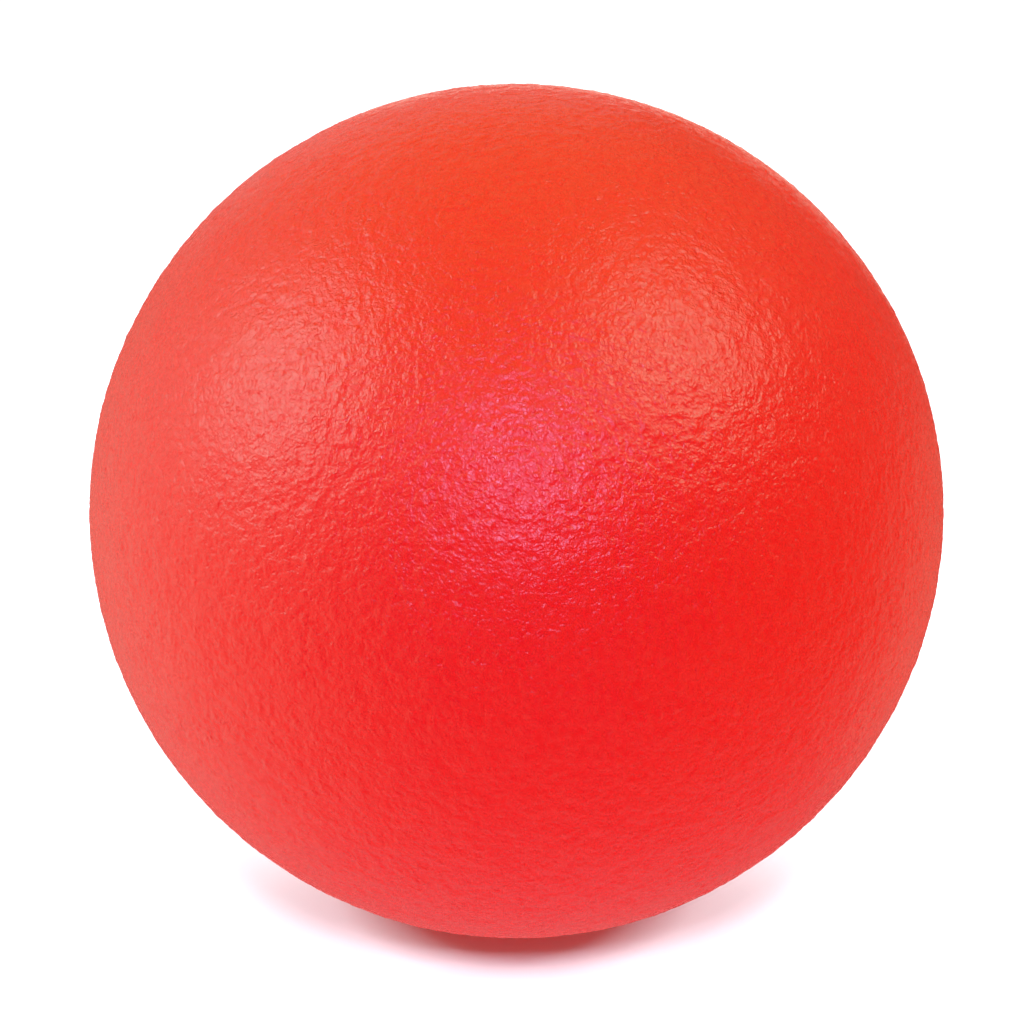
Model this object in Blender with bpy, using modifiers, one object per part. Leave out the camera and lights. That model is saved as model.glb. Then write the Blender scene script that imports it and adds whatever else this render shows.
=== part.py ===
"""A playground ball: a ball of cut foam under two sprayed elastomer coats, and the dab that fills its holding-pin hole.

Metres, +Z up. The origin is the ball's centre. +Y runs out through the dab, at the back of the ball.
The ball rests on the floor at (0, 0, -BALL_DIAMETER / 2).
"""

import math

import bpy

# Driving dimensions, in metres.
BALL_DIAMETER = 0.216
SKIN_THICKNESS = 0.0008
SEALER_THICKNESS = 0.0005
LAYER_GAP = 0.0003  # between one piece and the next, which the real coats fill

PIN_RADIUS = 0.0015  # the pin that holds the ball while it is sprayed
PIN_TRACK_DEPTH = 0.0065  # how far the dab runs down the pin's track, below the foam's surface
DAB_RADIUS = 0.0037  # the bare spot that the pin's collar leaves in the red coat

# How finely a turned shape is cut into flat faces.
TURN_STEPS = 48
RINGS = 24  # from one pole to the other

# Radii and heights that follow from them.
SKIN_OUTER = BALL_DIAMETER / 2
SKIN_INNER = SKIN_OUTER - SKIN_THICKNESS
SEALER_OUTER = SKIN_INNER - LAYER_GAP
SEALER_INNER = SEALER_OUTER - SEALER_THICKNESS
CORE_RADIUS = SEALER_INNER - LAYER_GAP
SKIN_HOLE_RADIUS = DAB_RADIUS + LAYER_GAP
PIN_HOLE_RADIUS = PIN_RADIUS + LAYER_GAP
DAB_UNDERSIDE = SEALER_OUTER + LAYER_GAP
DAB_TIP = CORE_RADIUS - PIN_TRACK_DEPTH

MERGE_DISTANCE = 0.00001
SHARP_ANGLE = math.radians(30)

# name: (colour, roughness). None of them is metal.
FINISHES = {
    "red_elastomer": ((0.80, 0.018, 0.018), 0.38),
    "clear_sealer": ((0.80, 0.72, 0.55), 0.45),
    "cream_foam": ((0.86, 0.80, 0.62), 0.95),
    "red_dab": ((0.74, 0.014, 0.014), 0.25),
}


def clear_scene():
    for obj in list(bpy.data.objects):
        bpy.data.objects.remove(obj)


def make_material(name):
    """A Principled material of the named finish."""
    colour, roughness = FINISHES[name]
    material = bpy.data.materials.new(name)
    material.use_nodes = True
    shader = material.node_tree.nodes["Principled BSDF"]
    shader.inputs["Base Color"].default_value = (*colour, 1.0)
    shader.inputs["Roughness"].default_value = roughness
    shader.inputs["Metallic"].default_value = 0.0
    return material


def on_sphere(sphere_radius, from_axis):
    """The point of a sphere's outline that lies from_axis away from the turning axis, on the upper side."""
    return (from_axis, math.sqrt(sphere_radius**2 - from_axis**2))


def arc_down(sphere_radius, hole_radius):
    """A sphere's outline from the rim of a round hole at its top pole down to its bottom pole.

    Every sphere has its rings at the same polar angles, so nested layers keep an even gap between their flat faces.
    """
    rim_angle = math.asin(hole_radius / sphere_radius)
    points = [on_sphere(sphere_radius, hole_radius)]
    for ring in range(1, RINGS):
        angle = math.pi * ring / RINGS
        if angle > rim_angle:
            points.append((sphere_radius * math.sin(angle), sphere_radius * math.cos(angle)))
    points.append((0.0, -sphere_radius))
    return points


def shell_profile(outer_radius, inner_radius, hole_radius):
    """A hollow ball's wall: up the inside from the bottom pole, out through the hole, and down the outside."""
    return arc_down(inner_radius, hole_radius)[::-1] + arc_down(outer_radius, hole_radius)


def turned(name, profile, finish, centre, collection):
    """A solid turned about its Z axis from points of (distance from the axis, height), shaded smooth between hard edges.

    The profile runs down the solid's outer side, and starts and ends on the axis.
    """
    outline = bpy.data.meshes.new(name + "_profile")
    edges = [(i, i + 1) for i in range(len(profile) - 1)]
    outline.from_pydata([(x, 0.0, z) for x, z in profile], edges, [])
    obj = bpy.data.objects.new(name, outline)
    collection.objects.link(obj)

    screw = obj.modifiers.new("Turn", "SCREW")
    screw.axis = "Z"
    screw.steps = TURN_STEPS
    screw.render_steps = TURN_STEPS
    screw.use_merge_vertices = True
    screw.merge_threshold = MERGE_DISTANCE

    evaluated = obj.evaluated_get(bpy.context.evaluated_depsgraph_get())
    solid = bpy.data.meshes.new_from_object(evaluated)
    obj.modifiers.clear()
    obj.data = solid
    bpy.data.meshes.remove(outline)
    solid.name = name
    solid.shade_smooth()
    solid.set_sharp_from_angle(angle=SHARP_ANGLE)
    solid.materials.append(make_material(finish))
    obj.parent = centre
    return obj


def make_foam_core(centre, collection):
    """The ball of foam, with the top of the pin's track, where the dab has run in."""
    track_bottom = DAB_TIP - LAYER_GAP
    track = [(0.0, track_bottom), (PIN_HOLE_RADIUS, track_bottom)]
    profile = track + arc_down(CORE_RADIUS, PIN_HOLE_RADIUS)
    return turned("foam_core", profile, "cream_foam", centre, collection)


def make_sealer_coat(centre, collection):
    """The first coat, which closes the foam's cut cells. Only the pin itself goes through it."""
    profile = shell_profile(SEALER_OUTER, SEALER_INNER, PIN_HOLE_RADIUS)
    return turned("sealer_coat", profile, "clear_sealer", centre, collection)


def make_colour_skin(centre, collection):
    """The red coat, with the round bare spot that the pin's collar left."""
    profile = shell_profile(SKIN_OUTER, SKIN_INNER, SKIN_HOLE_RADIUS)
    return turned("colour_skin", profile, "red_elastomer", centre, collection)


def make_pin_hole_dab(centre, collection):
    """A dab of the red coat: a cap flush with the skin, on a stem down the pin's track, which ends in a cone."""
    cone_height = PIN_RADIUS
    profile = [
        (0.0, SKIN_OUTER),
        on_sphere(SKIN_OUTER, DAB_RADIUS / 2),
        on_sphere(SKIN_OUTER, DAB_RADIUS),
        (DAB_RADIUS, DAB_UNDERSIDE),
        (PIN_RADIUS, DAB_UNDERSIDE),
        (PIN_RADIUS, DAB_TIP + cone_height),
        (0.0, DAB_TIP),
    ]
    return turned("pin_hole_dab", profile, "red_dab", centre, collection)


def main():
    clear_scene()
    collection = bpy.data.collections.new("playground_ball")
    bpy.context.scene.collection.children.link(collection)

    # The turned shapes stand on their own Z axis, and the empty lays that axis along +Y.
    centre = bpy.data.objects.new("ball_centre", None)
    centre.rotation_euler = (-math.pi / 2, 0.0, 0.0)
    collection.objects.link(centre)

    make_foam_core(centre, collection)
    make_sealer_coat(centre, collection)
    make_colour_skin(centre, collection)
    make_pin_hole_dab(centre, collection)


main()
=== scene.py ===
"""The looks of a red playground ball: soft foam, in a sprayed skin that has dried in fine, random wrinkles.

All sizes are in metres, in the frame of the CAD model: the origin is the ball's centre, +Z is up, and +Y
runs out through the dab at the back.
"""

import math

import bpy
import numpy as np
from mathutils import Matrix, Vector


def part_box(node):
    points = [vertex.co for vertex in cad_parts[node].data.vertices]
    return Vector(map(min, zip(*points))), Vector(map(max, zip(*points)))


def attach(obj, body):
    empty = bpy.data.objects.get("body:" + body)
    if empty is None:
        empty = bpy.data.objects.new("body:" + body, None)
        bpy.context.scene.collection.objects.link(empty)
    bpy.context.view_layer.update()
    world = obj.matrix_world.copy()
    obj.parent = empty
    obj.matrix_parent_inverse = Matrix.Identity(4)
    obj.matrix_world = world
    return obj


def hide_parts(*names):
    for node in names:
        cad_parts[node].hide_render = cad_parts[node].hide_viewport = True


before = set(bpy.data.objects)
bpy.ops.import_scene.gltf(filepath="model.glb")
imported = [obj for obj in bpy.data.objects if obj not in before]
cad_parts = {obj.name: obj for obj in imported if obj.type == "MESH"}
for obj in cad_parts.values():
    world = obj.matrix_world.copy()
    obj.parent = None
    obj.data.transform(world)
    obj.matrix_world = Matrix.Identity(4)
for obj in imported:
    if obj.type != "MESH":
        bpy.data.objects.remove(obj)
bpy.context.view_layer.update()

# ---------------------------------------------------------------------------
# Sizes, from the CAD model
# ---------------------------------------------------------------------------

skin_low, skin_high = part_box("colour_skin")
sealer_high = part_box("sealer_coat")[1]
core_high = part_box("foam_core")[1]
dab_low, dab_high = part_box("pin_hole_dab")

BALL_RADIUS = skin_high.z
SEALER_RADIUS = sealer_high.z
CORE_RADIUS = core_high.z
DAB_RADIUS = dab_high.x
DAB_TIP = dab_low.y

LAYER_GAP = 0.0003  # between one piece and the next
SKIN_INSIDE = SEALER_RADIUS + LAYER_GAP
SEALER_INSIDE = CORE_RADIUS + LAYER_GAP
SKIN_HOLE = DAB_RADIUS + LAYER_GAP
PIN_RADIUS = 0.0015
PIN_HOLE = PIN_RADIUS + LAYER_GAP

# How finely each ball is divided: squares along the edge of each of its six grids, and rings inside it.
SKIN_CELLS = 380
CORE_CELLS = 80
SEALER_CELLS = 60
INSIDE_STEPS = 40

# Rings of squares that are left out for the dab's hole in the skin, and for the pin's in the other two.
SKIN_HOLE_RINGS = 8
PIN_HOLE_RINGS = 2

SHARP_EDGE = math.radians(50)

# ---------------------------------------------------------------------------
# Random fields, worked out for whole arrays of points
# ---------------------------------------------------------------------------

LATTICE = 4096
TURN_COUNT = 64  # every seed is less than this
SEED_SHIFT = 31  # cells between one seed's random numbers and the next seed's
lattice_random = np.random.default_rng(20)
SHUFFLE = lattice_random.permutation(LATTICE)
SLOPES = lattice_random.normal(size=(LATTICE, 3))
SLOPES /= np.linalg.norm(SLOPES, axis=1, keepdims=True)
CELL_CENTRES = lattice_random.random((LATTICE, 3))
TURNS = np.linalg.qr(lattice_random.normal(size=(TURN_COUNT, 3, 3)))[0]
LATTICE_OFFSET = 300.0  # keeps every lattice coordinate positive
NOISE_REACH = 1.6  # brings the noise to about -1 to 1
FAR_OFF = 9.0  # further than any cell's centre, in spacings


def lattice_place(points, spacing, seed):
    """The cell of a lattice turned at random that each point is in, and where it lies in it, from 0 to 1."""
    place = points @ TURNS[seed] / spacing + LATTICE_OFFSET
    cell = np.floor(place).astype(np.int64)
    return cell + SEED_SHIFT * seed, place - cell


def lattice_number(cells):
    """A fixed random number for each whole-numbered lattice cell, by shuffling x, then y, then z."""
    number = SHUFFLE[cells[:, 0] % LATTICE]
    number = SHUFFLE[(number + cells[:, 1]) % LATTICE]
    return SHUFFLE[(number + cells[:, 2]) % LATTICE]


def smooth_noise(points, spacing, seed):
    """Noise of about -1 to 1: a random slope at each corner of a lattice cell, blended by quintic weights.

    The quintic is 6 t^5 - 15 t^4 + 10 t^3, which is level at both ends.
    """
    cell, within = lattice_place(points, spacing, seed)
    weight = within**3 * (within * (within * 6 - 15) + 10)
    total = np.zeros(len(points))
    for corner in np.ndindex(2, 2, 2):
        share = np.prod(np.where(corner, weight, 1 - weight), axis=1)
        total += share * np.sum(SLOPES[lattice_number(cell + corner)] * (within - corner), axis=1)
    return NOISE_REACH * total


def border_distance(points, spacing, seed):
    """How far each point is from the border between random cells, in spacings, and 0 on the border.

    Each lattice cell holds one random centre. The value is the distance to the second nearest centre less
    the distance to the nearest.
    """
    cell, within = lattice_place(points, spacing, seed)
    nearest = np.full(len(points), FAR_OFF)
    second = nearest.copy()
    for step in np.ndindex(3, 3, 3):
        shift = np.array(step) - 1
        centre = CELL_CENTRES[lattice_number(cell + shift)] + shift
        distance = np.linalg.norm(centre - within, axis=1)
        second = np.minimum(second, np.maximum(nearest, distance))
        nearest = np.minimum(nearest, distance)
    return second - nearest


def wandering(points, spacing, reach, seed):
    """The points, each moved up to about reach along every axis by its own noise, so that borders bend."""
    shifts = [smooth_noise(points, spacing, seed + axis) for axis in range(3)]
    return points + reach * np.stack(shifts, axis=1)


def smooth_step(values, start, end):
    """0 before start, 1 after end, and a smooth rise between."""
    share = np.clip((values - start) / (end - start), 0.0, 1.0)
    return share * share * (3 - 2 * share)


# ---------------------------------------------------------------------------
# Surfaces
# ---------------------------------------------------------------------------


def cube_ball(cells, hole_angle, hole_rings):
    """A ball's directions and square faces: six grids of equal angle steps, one for each side of a cube.

    On each side a point is (tan u, tan v, 1), for u and v from -45 to 45 degrees, brought to length 1. Round
    the middle of the +Y side the square rings become circles, and the innermost hole_rings of them are left
    out, which leaves a round hole whose edge is hole_angle off +Y. Points that two sides share are made one.
    """
    ticks = np.arange(cells + 1)
    tangents = np.tan((2 * ticks / cells - 1) * math.pi / 4)
    row, column = np.meshgrid(ticks, ticks, indexing="ij")
    number = row * (cells + 1) + column
    squares = np.stack([number[:-1, :-1], number[1:, :-1], number[1:, 1:], number[:-1, 1:]], axis=-1)
    middle = np.abs(ticks[:-1] + 0.5 - cells / 2)
    outside_hole = np.maximum(middle[:, None], middle) > hole_rings

    directions, keys, faces = [], [], []
    for axis in range(3):
        for side in (0, 1):
            across, along = tangents[row], tangents[column]
            kept = squares.reshape(-1, 4)
            if axis == 1 and side == 1:
                across, along = round_rings(across, along, tangents[cells // 2 + hole_rings], hole_angle)
                kept = squares[outside_hole]
            # The sides' axes follow one another in a circle, so that each grid faces out on its far side.
            place = np.stack([np.full(row.shape, 2.0 * side - 1), across, along], axis=-1)
            steps = np.stack([np.full(row.shape, cells * side), row, column], axis=-1)
            place, steps = np.roll(place, axis, axis=-1), np.roll(steps, axis, axis=-1)
            directions.append(place.reshape(-1, 3))
            keys.append(steps.reshape(-1, 3) @ [(cells + 1) ** 2, cells + 1, 1])
            faces.append((kept if side else kept[:, ::-1]) + len(faces) * number.size)

    _, first, shared = np.unique(np.concatenate(keys), return_index=True, return_inverse=True)
    directions = np.concatenate(directions)[first]
    faces = shared.ravel()[np.concatenate(faces)]
    used = np.zeros(len(directions), bool)
    used[faces] = True
    directions = directions[used]
    return directions / np.linalg.norm(directions, axis=1, keepdims=True), (np.cumsum(used) - 1)[faces]


def round_rings(across, along, rim, hole_angle):
    """Turns square rings into circles near the middle of a grid, with ring rim at hole_angle off the middle.

    A point keeps its bearing, and its distance becomes its ring's, scaled. Further out the change fades.
    """
    ring = np.maximum(np.abs(across), np.abs(along))
    distance = np.maximum(np.hypot(across, along), 1e-9)
    square = smooth_step(ring, 1.5 * rim, 8 * rim)
    stretch = square + (1 - square) * math.tan(hole_angle) / rim * ring / distance
    return across * stretch, along * stretch


def turned_rings(profile, bearings):
    """Rings of points round the Y axis, one for each (distance off it, place along it) of a profile."""
    out, along = np.transpose(profile)
    rings = np.empty((len(out), len(bearings), 3))
    rings[..., 0] = out[:, None] * np.cos(bearings)
    rings[..., 1] = along[:, None]
    rings[..., 2] = out[:, None] * np.sin(bearings)
    return rings


def joined(rings):
    """Square faces between rings of point numbers, each ring a row."""
    ahead = np.roll(rings, -1, axis=1)
    return np.stack([rings[:-1], ahead[:-1], ahead[1:], rings[1:]], axis=-1).reshape(-1, 4)


def fan(ring, tip):
    """Three-cornered faces from a ring of point numbers to the point that closes it."""
    return np.stack([ring, np.roll(ring, -1), np.full(len(ring), tip)], axis=1)


def arc(radius, start, end, steps):
    """(distance from the axis, place along it) on a circle round the centre, between two angles off +Y."""
    angles = np.linspace(start, end, steps + 1)
    return radius * np.stack([np.sin(angles), np.cos(angles)], axis=1)


def closed_inside(points, squares, profile):
    """Closes a ball with a hole at +Y by turning a profile that runs from the hole's edge to the axis."""
    angles = np.arctan2(np.hypot(points[:, 0], points[:, 2]), points[:, 1])
    edge = np.flatnonzero(angles < angles.min() + 0.001)
    bearings = np.arctan2(points[edge, 2], points[edge, 0])
    order = np.argsort(bearings)
    edge, bearings = edge[order], bearings[order]
    rings = turned_rings(profile[:-1], bearings)
    tip = len(points) + len(edge) * len(rings)
    numbers = np.vstack([edge, np.arange(len(points), tip).reshape(len(rings), -1)])
    tip_point = [(0.0, profile[-1][1], 0.0)]
    points = np.concatenate([points, rings.reshape(-1, 3), tip_point])
    return points, [squares, joined(numbers)[:, ::-1], fan(numbers[-1], tip)[:, ::-1]]


def mesh_piece(name, points, face_groups, values=None):
    """A smooth mesh object from points and groups of faces, with named values at each point if given."""
    mesh = bpy.data.meshes.new(name)
    corners = np.concatenate([faces.ravel() for faces in face_groups])
    sizes = np.concatenate([np.full(len(faces), faces.shape[1]) for faces in face_groups])
    mesh.vertices.add(len(points))
    mesh.vertices.foreach_set("co", points.astype(np.float32).ravel())
    mesh.loops.add(len(corners))
    mesh.loops.foreach_set("vertex_index", corners.astype(np.int32))
    mesh.polygons.add(len(sizes))
    mesh.polygons.foreach_set("loop_start", (np.cumsum(sizes) - sizes).astype(np.int32))
    mesh.update(calc_edges=True)
    mesh.shade_smooth()
    mesh.set_sharp_from_angle(angle=SHARP_EDGE)
    for label, numbers in (values or {}).items():
        mesh.attributes.new(label, "FLOAT", "POINT").data.foreach_set("value", numbers.astype(np.float32))
    piece = bpy.data.objects.new(name, mesh)
    bpy.context.scene.collection.objects.link(piece)
    return piece


# ---------------------------------------------------------------------------
# The wrinkled skin
# ---------------------------------------------------------------------------

SMOOTH_ROUND_DAB = 0.0055  # where the brush has filled the wrinkles
WRINKLED_FROM = 0.0100  # where they are whole again

# Lattice spacing, height and seed of each size of lump, and then of each size of wrinkle.
LUMPS = [(0.0120, 0.00004, 1), (0.0048, 0.00012, 3), (0.0030, 0.00006, 29)]
WRINKLES = [(0.0032, 0.00014, 5), (0.0020, 0.00012, 9), (0.0013, 0.00008, 13)]
FOLD_LEVEL = -0.12  # the noise's value in the bottom of a crease
FOLD_WIDTH = 0.6  # how far from it the crease's sides run out
DEEPEST = 0.00068  # which leaves the skin a tenth of a millimetre thick

# The wandering's lattice spacing, reach and seed, and the noise that makes the creases fade and deepen.
WANDER_SPACING, WANDER_REACH, WANDER_SEED = 0.0026, 0.0006, 40
FADE_SPACING, FADE_SEED = 0.009, 17
MEAN_STRENGTH, FADE_STRENGTH = 0.85, 0.35


def wrinkle_depth(points):
    """How far the skin dries in at each point, and how worn down to a crease it is, from 0 to 1.

    Three sizes of lump, each a noise, then three sizes of crease, each deepest where a noise crosses a
    level: one less the noise's distance from it, as a share of the fold's width. A wandering pulls the
    points about first, so that no crease runs straight, and a slow noise makes the creases fade and deepen.
    """
    pulled = wandering(points, WANDER_SPACING, WANDER_REACH, WANDER_SEED)
    strength = MEAN_STRENGTH + FADE_STRENGTH * smooth_noise(points, FADE_SPACING, FADE_SEED)
    depth = np.zeros(len(points))
    for spacing, height, seed in LUMPS:
        depth += height * (1 - smooth_noise(pulled, spacing, seed))
    crease = 0.0
    for spacing, deepest, seed in WRINKLES:
        off_level = np.abs(smooth_noise(pulled, spacing, seed) - FOLD_LEVEL)
        fold = 1 - np.minimum(off_level / FOLD_WIDTH, 1)
        depth += strength * deepest * fold
        crease = crease + strength * fold**3 / len(WRINKLES)
    return np.minimum(depth, DEEPEST), np.clip(crease, 0, 1)


def make_skin():
    """The red coat: a ball less the wrinkles' depth, joined round the dab's hole to a plain ball inside."""
    directions, squares = cube_ball(SKIN_CELLS, math.asin(SKIN_HOLE / BALL_RADIUS), SKIN_HOLE_RINGS)
    depth, crease = wrinkle_depth(directions * BALL_RADIUS)
    off_dab = BALL_RADIUS * np.arccos(np.clip(directions[:, 1], -1, 1))
    shown = smooth_step(off_dab, SMOOTH_ROUND_DAB, WRINKLED_FROM)
    outside = directions * (BALL_RADIUS - shown * depth)[:, None]
    inside = arc(SKIN_INSIDE, math.asin(SKIN_HOLE / SKIN_INSIDE), math.pi, INSIDE_STEPS)
    points, faces = closed_inside(outside, squares, inside)
    hidden = np.zeros(len(points) - len(outside))
    # The crease values dull the skin and also darken it as painted shade in the creases.
    creases = np.concatenate([shown * crease, hidden])
    return mesh_piece("wrinkled_red_skin", points, faces, {"crease": creases})


# ---------------------------------------------------------------------------
# The dab, the sealer and the foam
# ---------------------------------------------------------------------------

LAP_RADIUS = 0.0050
LAP_CLEARANCE = 0.00004
LAP_EDGE = 0.00006
LAP_CROWN = 0.00042
DAB_TURNS = 96
DOME_RINGS = 20

RIPPLE_HEIGHT, RIPPLE_SPACING, RIPPLE_SEED = 0.00004, 0.011, 23
PIT_DEPTH, CELL_SPACING, CELL_SEED = 0.00022, 0.0052, 29
PIT_EDGE, PIT_FLOOR = 0.05, 0.6  # where a pit starts and is whole, off its border in spacings
TRACK_STEPS = 6


def make_dab():
    """A brushed dab: a low dome that laps over the skin round its hole, on a plug and a pointed stem.

    The dome stands above the ball by its edge's thickness, and by the rest of the crown times one less the
    square of the share of the way out. Its outline is a circle with three sine waves round it, of two, three
    and seven waves. The plug and stem are round.
    """
    bearings = np.linspace(0, 2 * math.pi, DAB_TURNS, endpoint=False)
    waves = 0.06 * np.sin(2 * bearings + 0.6) + 0.04 * np.sin(3 * bearings + 2.1)
    waves += 0.02 * np.sin(7 * bearings)
    share = np.linspace(0, 1, DOME_RINGS + 1)[1:, None]
    out = LAP_RADIUS * share * (1 + waves * share**2)
    ball = np.sqrt(BALL_RADIUS**2 - out**2)
    dome = ball + LAP_CLEARANCE + LAP_EDGE + (LAP_CROWN - LAP_EDGE) * (1 - share**2)
    under_plug = math.sqrt(BALL_RADIUS**2 - DAB_RADIUS**2) + LAP_CLEARANCE
    stem = [
        (DAB_RADIUS, under_plug),
        (DAB_RADIUS, SKIN_INSIDE),
        (PIN_RADIUS, SKIN_INSIDE),
        (PIN_RADIUS, DAB_TIP + PIN_RADIUS),
    ]
    across, up = out * np.cos(bearings), out * np.sin(bearings)
    top = np.stack([across, dome, up], axis=2)
    lap = np.stack([across[-1], ball[-1] + LAP_CLEARANCE, up[-1]], axis=1)
    rings = np.concatenate([top, lap[None], turned_rings(stem, bearings)])
    numbers = np.arange(len(rings) * DAB_TURNS).reshape(len(rings), DAB_TURNS)
    crown, tip = numbers.size, numbers.size + 1
    ends = [(0, BALL_RADIUS + LAP_CLEARANCE + LAP_CROWN, 0), (0, DAB_TIP, 0)]
    faces = [joined(numbers), fan(numbers[0], crown)[:, ::-1], fan(numbers[-1], tip)]
    return mesh_piece("brushed_red_dab", np.concatenate([rings.reshape(-1, 3), ends]), faces)


def make_sealer():
    """The first coat: a thin ball with the pin's hole, rippled outside by one slow noise, plain inside."""
    directions, squares = cube_ball(SEALER_CELLS, math.asin(PIN_HOLE / SEALER_RADIUS), PIN_HOLE_RINGS)
    ripple = RIPPLE_HEIGHT * (1 + smooth_noise(directions * SEALER_RADIUS, RIPPLE_SPACING, RIPPLE_SEED))
    inside = arc(SEALER_INSIDE, math.asin(PIN_HOLE / SEALER_INSIDE), math.pi, INSIDE_STEPS)
    outside = directions * (SEALER_RADIUS - ripple)[:, None]
    return mesh_piece("rippled_sealer", *closed_inside(outside, squares, inside))


def make_foam():
    """The foam: a ball with the pin's track, pitted by open cells, each deepest far from its border."""
    directions, squares = cube_ball(CORE_CELLS, math.asin(PIN_HOLE / CORE_RADIUS), PIN_HOLE_RINGS)
    off_border = border_distance(directions * CORE_RADIUS, CELL_SPACING, CELL_SEED)
    pits = PIT_DEPTH * smooth_step(off_border, PIT_EDGE, PIT_FLOOR)
    track_end = DAB_TIP - LAYER_GAP
    depths = np.linspace(CORE_RADIUS - PIN_HOLE, track_end, TRACK_STEPS)
    track = [(PIN_HOLE, depth) for depth in depths] + [(0.0, track_end)]
    outside = directions * (CORE_RADIUS - pits)[:, None]
    return mesh_piece("cut_foam_ball", *closed_inside(outside, squares, track))


# ---------------------------------------------------------------------------
# Materials
# ---------------------------------------------------------------------------


def add_node(tree, kind, inputs=None, **settings):
    """A new node, with its settings, and its inputs set to a value or linked to an output."""
    node = tree.nodes.new(kind)
    for name, value in settings.items():
        setattr(node, name, value)
    for socket, value in (inputs or {}).items():
        if isinstance(value, bpy.types.NodeSocket):
            tree.links.new(value, node.inputs[socket])
        else:
            node.inputs[socket].default_value = value
    return node


class Finish:
    """A material with one Principled shader, and short calls that add and link its nodes."""

    def __init__(self, name, colour, roughness, **settings):
        self.material = bpy.data.materials.new(name)
        self.material.use_nodes = True
        self.tree = self.material.node_tree
        self.shader = self.tree.nodes["Principled BSDF"]
        self.shader.inputs["Base Color"].default_value = (*colour, 1)
        self.shader.inputs["Roughness"].default_value = roughness
        for socket, value in settings.items():
            self.shader.inputs[socket].default_value = value
        self.place = self.add("ShaderNodeTexCoord").outputs["Object"]

    def add(self, kind, inputs=None, **settings):
        """A new node of the material's."""
        return add_node(self.tree, kind, inputs, **settings)

    def noise(self, wavelength, detail=2.0, distortion=0.0):
        """Noise of about 0 to 1, whose coarsest waves are a wavelength long."""
        inputs = {"Vector": self.place, "Scale": 1 / wavelength, "Detail": detail, "Distortion": distortion}
        return self.add("ShaderNodeTexNoise", inputs).outputs["Fac"]

    def cells(self, wavelength):
        """The distance to the border of random cells a wavelength wide."""
        inputs = {"Vector": self.place, "Scale": 1 / wavelength}
        return self.add("ShaderNodeTexVoronoi", inputs, feature="DISTANCE_TO_EDGE").outputs["Distance"]

    def between(self, value, low, high, start=0.0, end=1.0):
        """A value from low to high, as the given one goes from start to end."""
        inputs = {"Value": value, "From Min": start, "From Max": end, "To Min": low, "To Max": high}
        return self.add("ShaderNodeMapRange", inputs).outputs["Result"]

    def blend(self, share, first, second):
        """A colour between two, each a colour or an output."""
        node = self.add("ShaderNodeMix", data_type="RGBA")
        for socket, value in ((node.inputs[0], share), (node.inputs[6], first), (node.inputs[7], second)):
            if isinstance(value, bpy.types.NodeSocket):
                self.tree.links.new(value, socket)
            else:
                socket.default_value = (*value, 1) if isinstance(value, tuple) else value
        return node.outputs[2]

    def bump(self, height, depth, under=None):
        """A surface that rises by depth as the height goes from 0 to 1, on top of another bump's normal."""
        inputs = {"Height": height, "Distance": depth, "Strength": 1.0}
        if under:
            inputs["Normal"] = under
        return self.add("ShaderNodeBump", inputs).outputs["Normal"]

    def drive(self, socket, output):
        """Links an output to one of the shader's sockets."""
        self.tree.links.new(output, self.shader.inputs[socket])


RED = (0.87, 0.0040, 0.0035)
# The next red is painted shade: a darker red that the creases are blended towards.
CREASE_SHADE_RED = (0.86, 0.0030, 0.0030)
WARM_RED = (0.88, 0.0070, 0.0030)
FLECK_RED = (0.88, 0.0170, 0.0100)
SKIN_ROUGHNESS = 0.24


def skin_finish():
    """Sprayed red elastomer: satin, duller in the creases and painted darker there as shade, with a crinkle
    too fine to mesh.
    """
    finish = Finish("sprayed_red_elastomer", RED, SKIN_ROUGHNESS, IOR=1.5)
    crease = finish.add("ShaderNodeAttribute", attribute_name="crease").outputs["Fac"]
    clouds = finish.blend(finish.between(finish.noise(0.014), 0.0, 1.0, 0.35, 0.65), RED, WARM_RED)
    flecks = finish.between(finish.noise(0.0016, detail=2.0, distortion=0.4), 0.0, 1.0, 0.3, 0.7)
    mottled = finish.blend(flecks, clouds, FLECK_RED)
    # Painted shade: the base colour darkens in the creases, where shade would fall.
    finish.drive("Base Color", finish.blend(finish.between(crease, 0.0, 0.8), mottled, CREASE_SHADE_RED))
    rough = finish.between(crease, SKIN_ROUGHNESS - 0.02, SKIN_ROUGHNESS + 0.16)
    finish.drive("Roughness", rough)
    lumps = finish.bump(finish.noise(0.0034, detail=1.0, distortion=0.6), 0.00021)
    crinkle = finish.add(
        "ShaderNodeTexNoise",
        {"Vector": finish.place, "Scale": 1 / 0.0013, "Detail": 2.0, "Roughness": 0.6, "Distortion": 0.5},
        noise_type="RIDGED_MULTIFRACTAL",
    )
    creased = finish.bump(crinkle.outputs["Fac"], -0.00021, under=lumps)
    grain = finish.noise(0.0008, detail=2.0, distortion=0.5)
    finish.drive("Normal", finish.bump(grain, 0.00022, under=creased))
    return finish.material


def dab_finish():
    """The same elastomer brushed on: glossier, a shade deeper, with faint brush waves."""
    finish = Finish("brushed_red_elastomer", (0.80, 0.0060, 0.0052), 0.22, IOR=1.5)
    tone = finish.blend(finish.noise(0.0021), (0.83, 0.0070, 0.0056), (0.76, 0.0050, 0.0046))
    finish.drive("Base Color", tone)
    finish.drive("Roughness", finish.between(finish.noise(0.0016), 0.16, 0.30))
    finish.drive("Normal", finish.bump(finish.noise(0.0017, distortion=1.0), 0.00006))
    return finish.material


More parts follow.
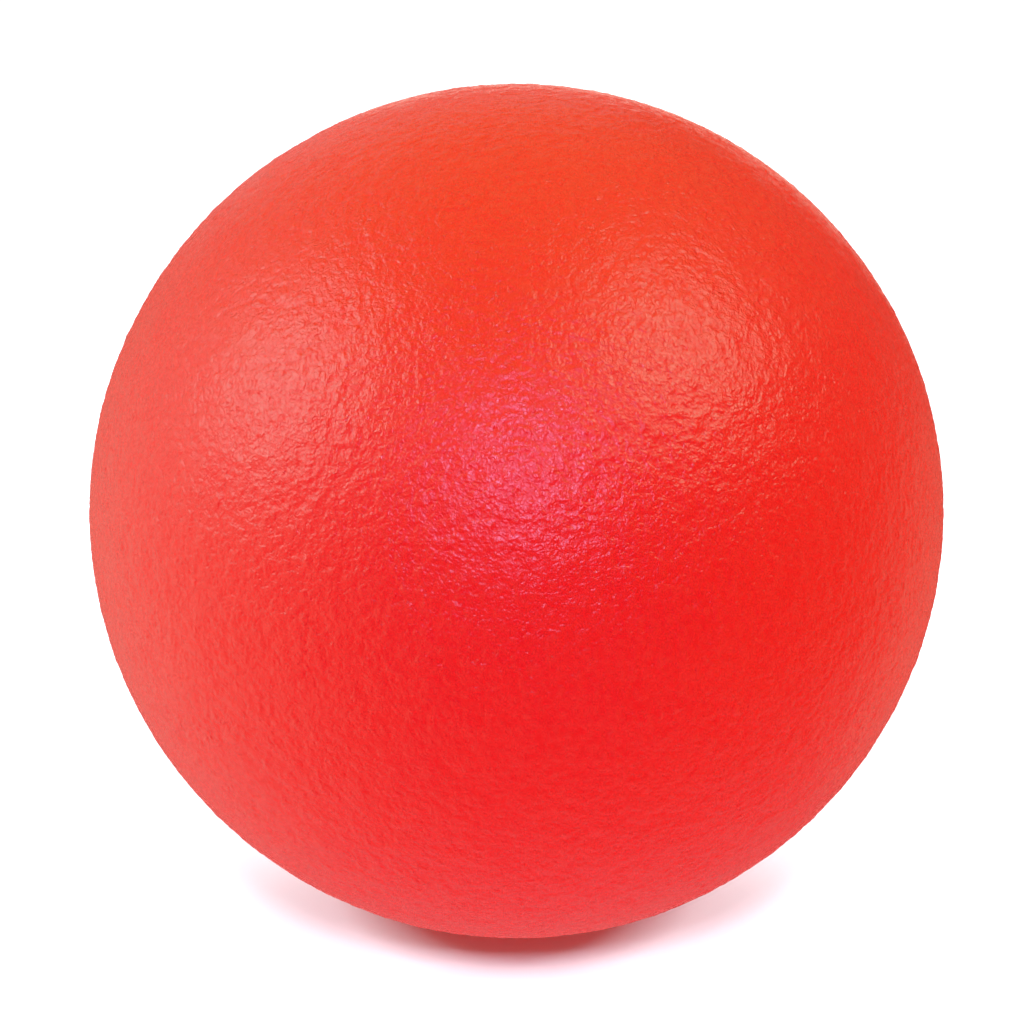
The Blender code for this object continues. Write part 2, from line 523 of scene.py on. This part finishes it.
def sealer_finish():
    """Clear elastomer over foam: pale amber, satin, with the foam's cells showing faintly."""
    finish = Finish("clear_amber_sealer", (0.80, 0.72, 0.55), 0.45, IOR=1.5)
    cells = finish.cells(0.0017)
    walls = finish.between(cells, 0.0, 1.0, 0.0, 0.2)
    finish.drive("Base Color", finish.blend(walls, (0.70, 0.60, 0.42), (0.83, 0.76, 0.60)))
    finish.drive("Roughness", finish.between(finish.noise(0.006), 0.38, 0.55))
    finish.drive("Normal", finish.bump(cells, 0.00006))
    return finish.material


def foam_finish():
    """Cut open-cell foam: cream, matt, a net of fine cells whose insides are darkened by painted shade."""
    finish = Finish("cream_open_cell_foam", (0.86, 0.80, 0.62), 0.95, IOR=1.45)
    cells = finish.between(finish.cells(0.0011), 0.0, 1.0, 0.0, 0.35)
    tone = finish.blend(finish.noise(0.02), (0.88, 0.82, 0.64), (0.84, 0.77, 0.57))
    # Painted shade: each cell's hollow inside is darker than its walls.
    finish.drive("Base Color", finish.blend(cells, tone, (0.60, 0.52, 0.35)))
    finish.drive("Roughness", finish.between(cells, 0.88, 1.0))
    finish.drive("Normal", finish.bump(finish.between(cells, 1.0, 0.0), 0.0004))
    return finish.material


# ---------------------------------------------------------------------------
# The studio
# ---------------------------------------------------------------------------

CAMERA_RISE = math.radians(17)
LENS = 120.0
SENSOR = 36.0
BALL_SHARE = 0.837  # the ball's width as a share of the frame's
CAMERA_SHIFT = (-0.0044, -0.001)
FLOOR_RADIUS = 1.5
FLOOR_SIDES = 64

TOWARDS_CAMERA = Vector((0, -math.cos(CAMERA_RISE), math.sin(CAMERA_RISE)))
VIEW_UP = Vector((0, math.sin(CAMERA_RISE), math.cos(CAMERA_RISE)))
VIEW_RIGHT = Vector((1, 0, 0))

# name: direction from the ball as (right, up, towards the camera), distance, side, watts, colour
SOFT_BOXES = {
    "key_left": ((-0.81, 0.45, 0.37), 1.1, 0.70, 6.3, (0.15, 1.0, 0.96)),
    "key_right": ((0.60, 0.60, 0.53), 1.1, 0.57, 5.4, (0.15, 1.0, 0.77)),
    "near_camera": ((0.02, 0.17, 0.98), 1.2, 0.33, 6.0, (0.30, 0.54, 1.0)),
    "behind_above": ((-0.15, 0.60, -0.78), 1.2, 0.80, 0.6, (1.0, 1.0, 1.0)),
    "behind_right": ((0.75, -0.15, -0.65), 1.2, 0.80, 0.4, (1.0, 1.0, 0.7)),
    "behind": ((0.10, 0.20, -0.97), 1.2, 0.60, 1.2, (1.0, 1.0, 0.8)),
}

# What the skin's gloss sees of the walls of the studio, by the axis that it looks along.
WALLS = {
    "+X": (0.60, 0.32, 0.20),
    "-X": (1.40, 1.58, 1.28),
    "+Y": (0.40, 0.14, 0.09),
    "-Y": (0.15, 0.17, 0.50),
    "+Z": (1.30, 1.50, 0.49),
    "-Z": (0.90, 0.47, 0.56),
}

# Two half skies, above and below, light every side alike: their shares of any facing add up to the same.
HALF_SKY_LIGHT = 3.15
BACKDROP = 1.1

# The floor's own lights, which shine on nothing else, so that it stays white up to the ball: as SOFT_BOXES.
FLOOR_LIGHTS = {
    "floor_front": ((0.0, 0.27, 0.96), 1.3, 0.25, 33.0, (0.88, 0.86, 1.0)),
    "floor_left": ((-0.72, 0.40, 0.58), 1.3, 0.35, 29.0, (0.92, 0.92, 1.0)),
    "floor_right": ((0.72, 0.40, 0.58), 1.3, 0.35, 29.0, (0.92, 0.92, 1.0)),
    "floor_above": ((0.0, 1.0, -0.3), 2.0, 2.00, 80.0, (0.96, 0.94, 1.0)),
}


def aimed(name, data, place):
    """A camera or light at a place, looking at the ball's centre."""
    obj = bpy.data.objects.new(name, data)
    obj.location = place
    obj.rotation_euler = (-place).to_track_quat("-Z", "Y").to_euler()
    bpy.context.scene.collection.objects.link(obj)
    return obj


def make_camera():
    """The ball's outline just fills its cone of sight, so the camera's distance follows from the lens."""
    camera = bpy.data.cameras.new("camera")
    camera.lens, camera.sensor_width = LENS, SENSOR
    camera.shift_x, camera.shift_y = CAMERA_SHIFT
    camera.clip_start = 0.01
    half_cone = math.atan(BALL_SHARE * SENSOR / 2 / LENS)
    bpy.context.scene.camera = aimed("camera", camera, TOWARDS_CAMERA * BALL_RADIUS / math.sin(half_cone))


def square_light(name, along, distance, side, watts, colour):
    """A square area light, along being its direction as (right, up, towards the camera)."""
    light = bpy.data.lights.new(name, "AREA")
    light.size, light.energy, light.color = side, watts, colour
    direction = along[0] * VIEW_RIGHT + along[1] * VIEW_UP + along[2] * TOWARDS_CAMERA
    box = aimed(name, light, direction.normalized() * distance)
    box.visible_camera = False
    return box


def half_sky(name, tilt):
    """An even half sky, for the diffuse light only: a sun half the sky wide."""
    light = bpy.data.lights.new(name, "SUN")
    light.angle, light.energy = math.pi, HALF_SKY_LIGHT
    light.cycles.use_multiple_importance_sampling = False
    sky = bpy.data.objects.new(name, light)
    sky.rotation_euler = (tilt, 0, 0)
    sky.visible_glossy = False
    sky.visible_camera = False
    bpy.context.scene.collection.objects.link(sky)


def make_lights(floor):
    """Soft boxes make the highlights, half skies light the ball evenly, and the floor has its own lights."""
    half_sky("sky_above", 0.0)
    half_sky("sky_below", math.pi)
    for name, setting in SOFT_BOXES.items():
        square_light(name, *setting).visible_diffuse = False
    only_floor = bpy.data.collections.new("lit_by_floor_lights")
    only_floor.objects.link(floor)
    for name, setting in FLOOR_LIGHTS.items():
        square_light(name, *setting).light_linking.receiver_collection = only_floor


def make_floor():
    """A plain pale disc under the ball, which neither shows in the ball's gloss nor lights it."""
    turns = np.linspace(0, 2 * math.pi, FLOOR_SIDES, endpoint=False)
    edge = np.stack([np.cos(turns), np.sin(turns), np.zeros(FLOOR_SIDES)], axis=1) * FLOOR_RADIUS
    points = np.concatenate([edge, [(0, 0, 0)]]) + (0, 0, skin_low.z)
    floor = mesh_piece("floor", points, [fan(np.arange(FLOOR_SIDES), FLOOR_SIDES)])
    finish = Finish("pale_floor", (0.47, 0.47, 0.47), 0.9)
    tone = finish.blend(finish.noise(0.4), (0.48, 0.48, 0.48), (0.46, 0.46, 0.46))
    finish.drive("Base Color", tone)
    floor.data.materials.append(finish.material)
    floor.visible_glossy = False
    floor.visible_diffuse = False
    floor.visible_shadow = False
    return floor


def make_world():
    """The camera sees an even white backdrop. Gloss sees six walls, blended by its direction's squares."""
    world = bpy.data.worlds.new("studio")
    bpy.context.scene.world = world
    world.use_nodes = True
    world.cycles.sampling_method = "NONE"
    tree = world.node_tree
    tree.nodes.clear()

    direction = tree.nodes.new("ShaderNodeTexCoord").outputs["Generated"]
    seen = (0.0, 0.0, 0.0)
    for wall, colour in WALLS.items():
        sign = 1.0 if wall[0] == "+" else -1.0
        outwards = [sign * (axis == wall[1]) for axis in "XYZ"]
        facing = add_node(tree, "ShaderNodeVectorMath", {0: direction, 1: outwards}, operation="DOT_PRODUCT")
        ahead = add_node(tree, "ShaderNodeMath", {0: facing.outputs["Value"], 1: 0.0}, operation="MAXIMUM")
        square = add_node(tree, "ShaderNodeMath", {0: ahead.outputs[0], 1: 2.0}, operation="POWER")
        scaled = {0: colour, "Scale": square.outputs[0]}
        share = add_node(tree, "ShaderNodeVectorMath", scaled, operation="SCALE").outputs[0]
        seen = add_node(tree, "ShaderNodeVectorMath", {0: seen, 1: share}, operation="ADD").outputs[0]

    path = tree.nodes.new("ShaderNodeLightPath")
    walls = {"Color": seen, "Strength": path.outputs["Is Glossy Ray"]}
    white = {"Color": (BACKDROP, BACKDROP, BACKDROP, 1), "Strength": path.outputs["Is Camera Ray"]}
    gloss = add_node(tree, "ShaderNodeBackground", walls)
    backdrop = add_node(tree, "ShaderNodeBackground", white)
    both = add_node(tree, "ShaderNodeAddShader", {0: gloss.outputs[0], 1: backdrop.outputs[0]})
    add_node(tree, "ShaderNodeOutputWorld", {"Surface": both.outputs[0]})


# ---------------------------------------------------------------------------
# The ball
# ---------------------------------------------------------------------------

# Each piece's maker and finish, the CAD node that it stands for, and that node's material slot.
PIECES = [
    (make_skin, skin_finish, "colour_skin", "skin"),
    (make_dab, dab_finish, "pin_hole_dab", "dab"),
    (make_sealer, sealer_finish, "sealer_coat", "sealer"),
    (make_foam, foam_finish, "foam_core", "foam"),
]

for make, finish, node, slot in PIECES:
    piece = make()
    piece.data.materials.append(finish())
    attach(piece, "root")
    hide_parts(node)

make_camera()
make_lights(make_floor())
make_world()
bpy.context.scene.view_settings.view_transform = "Standard"
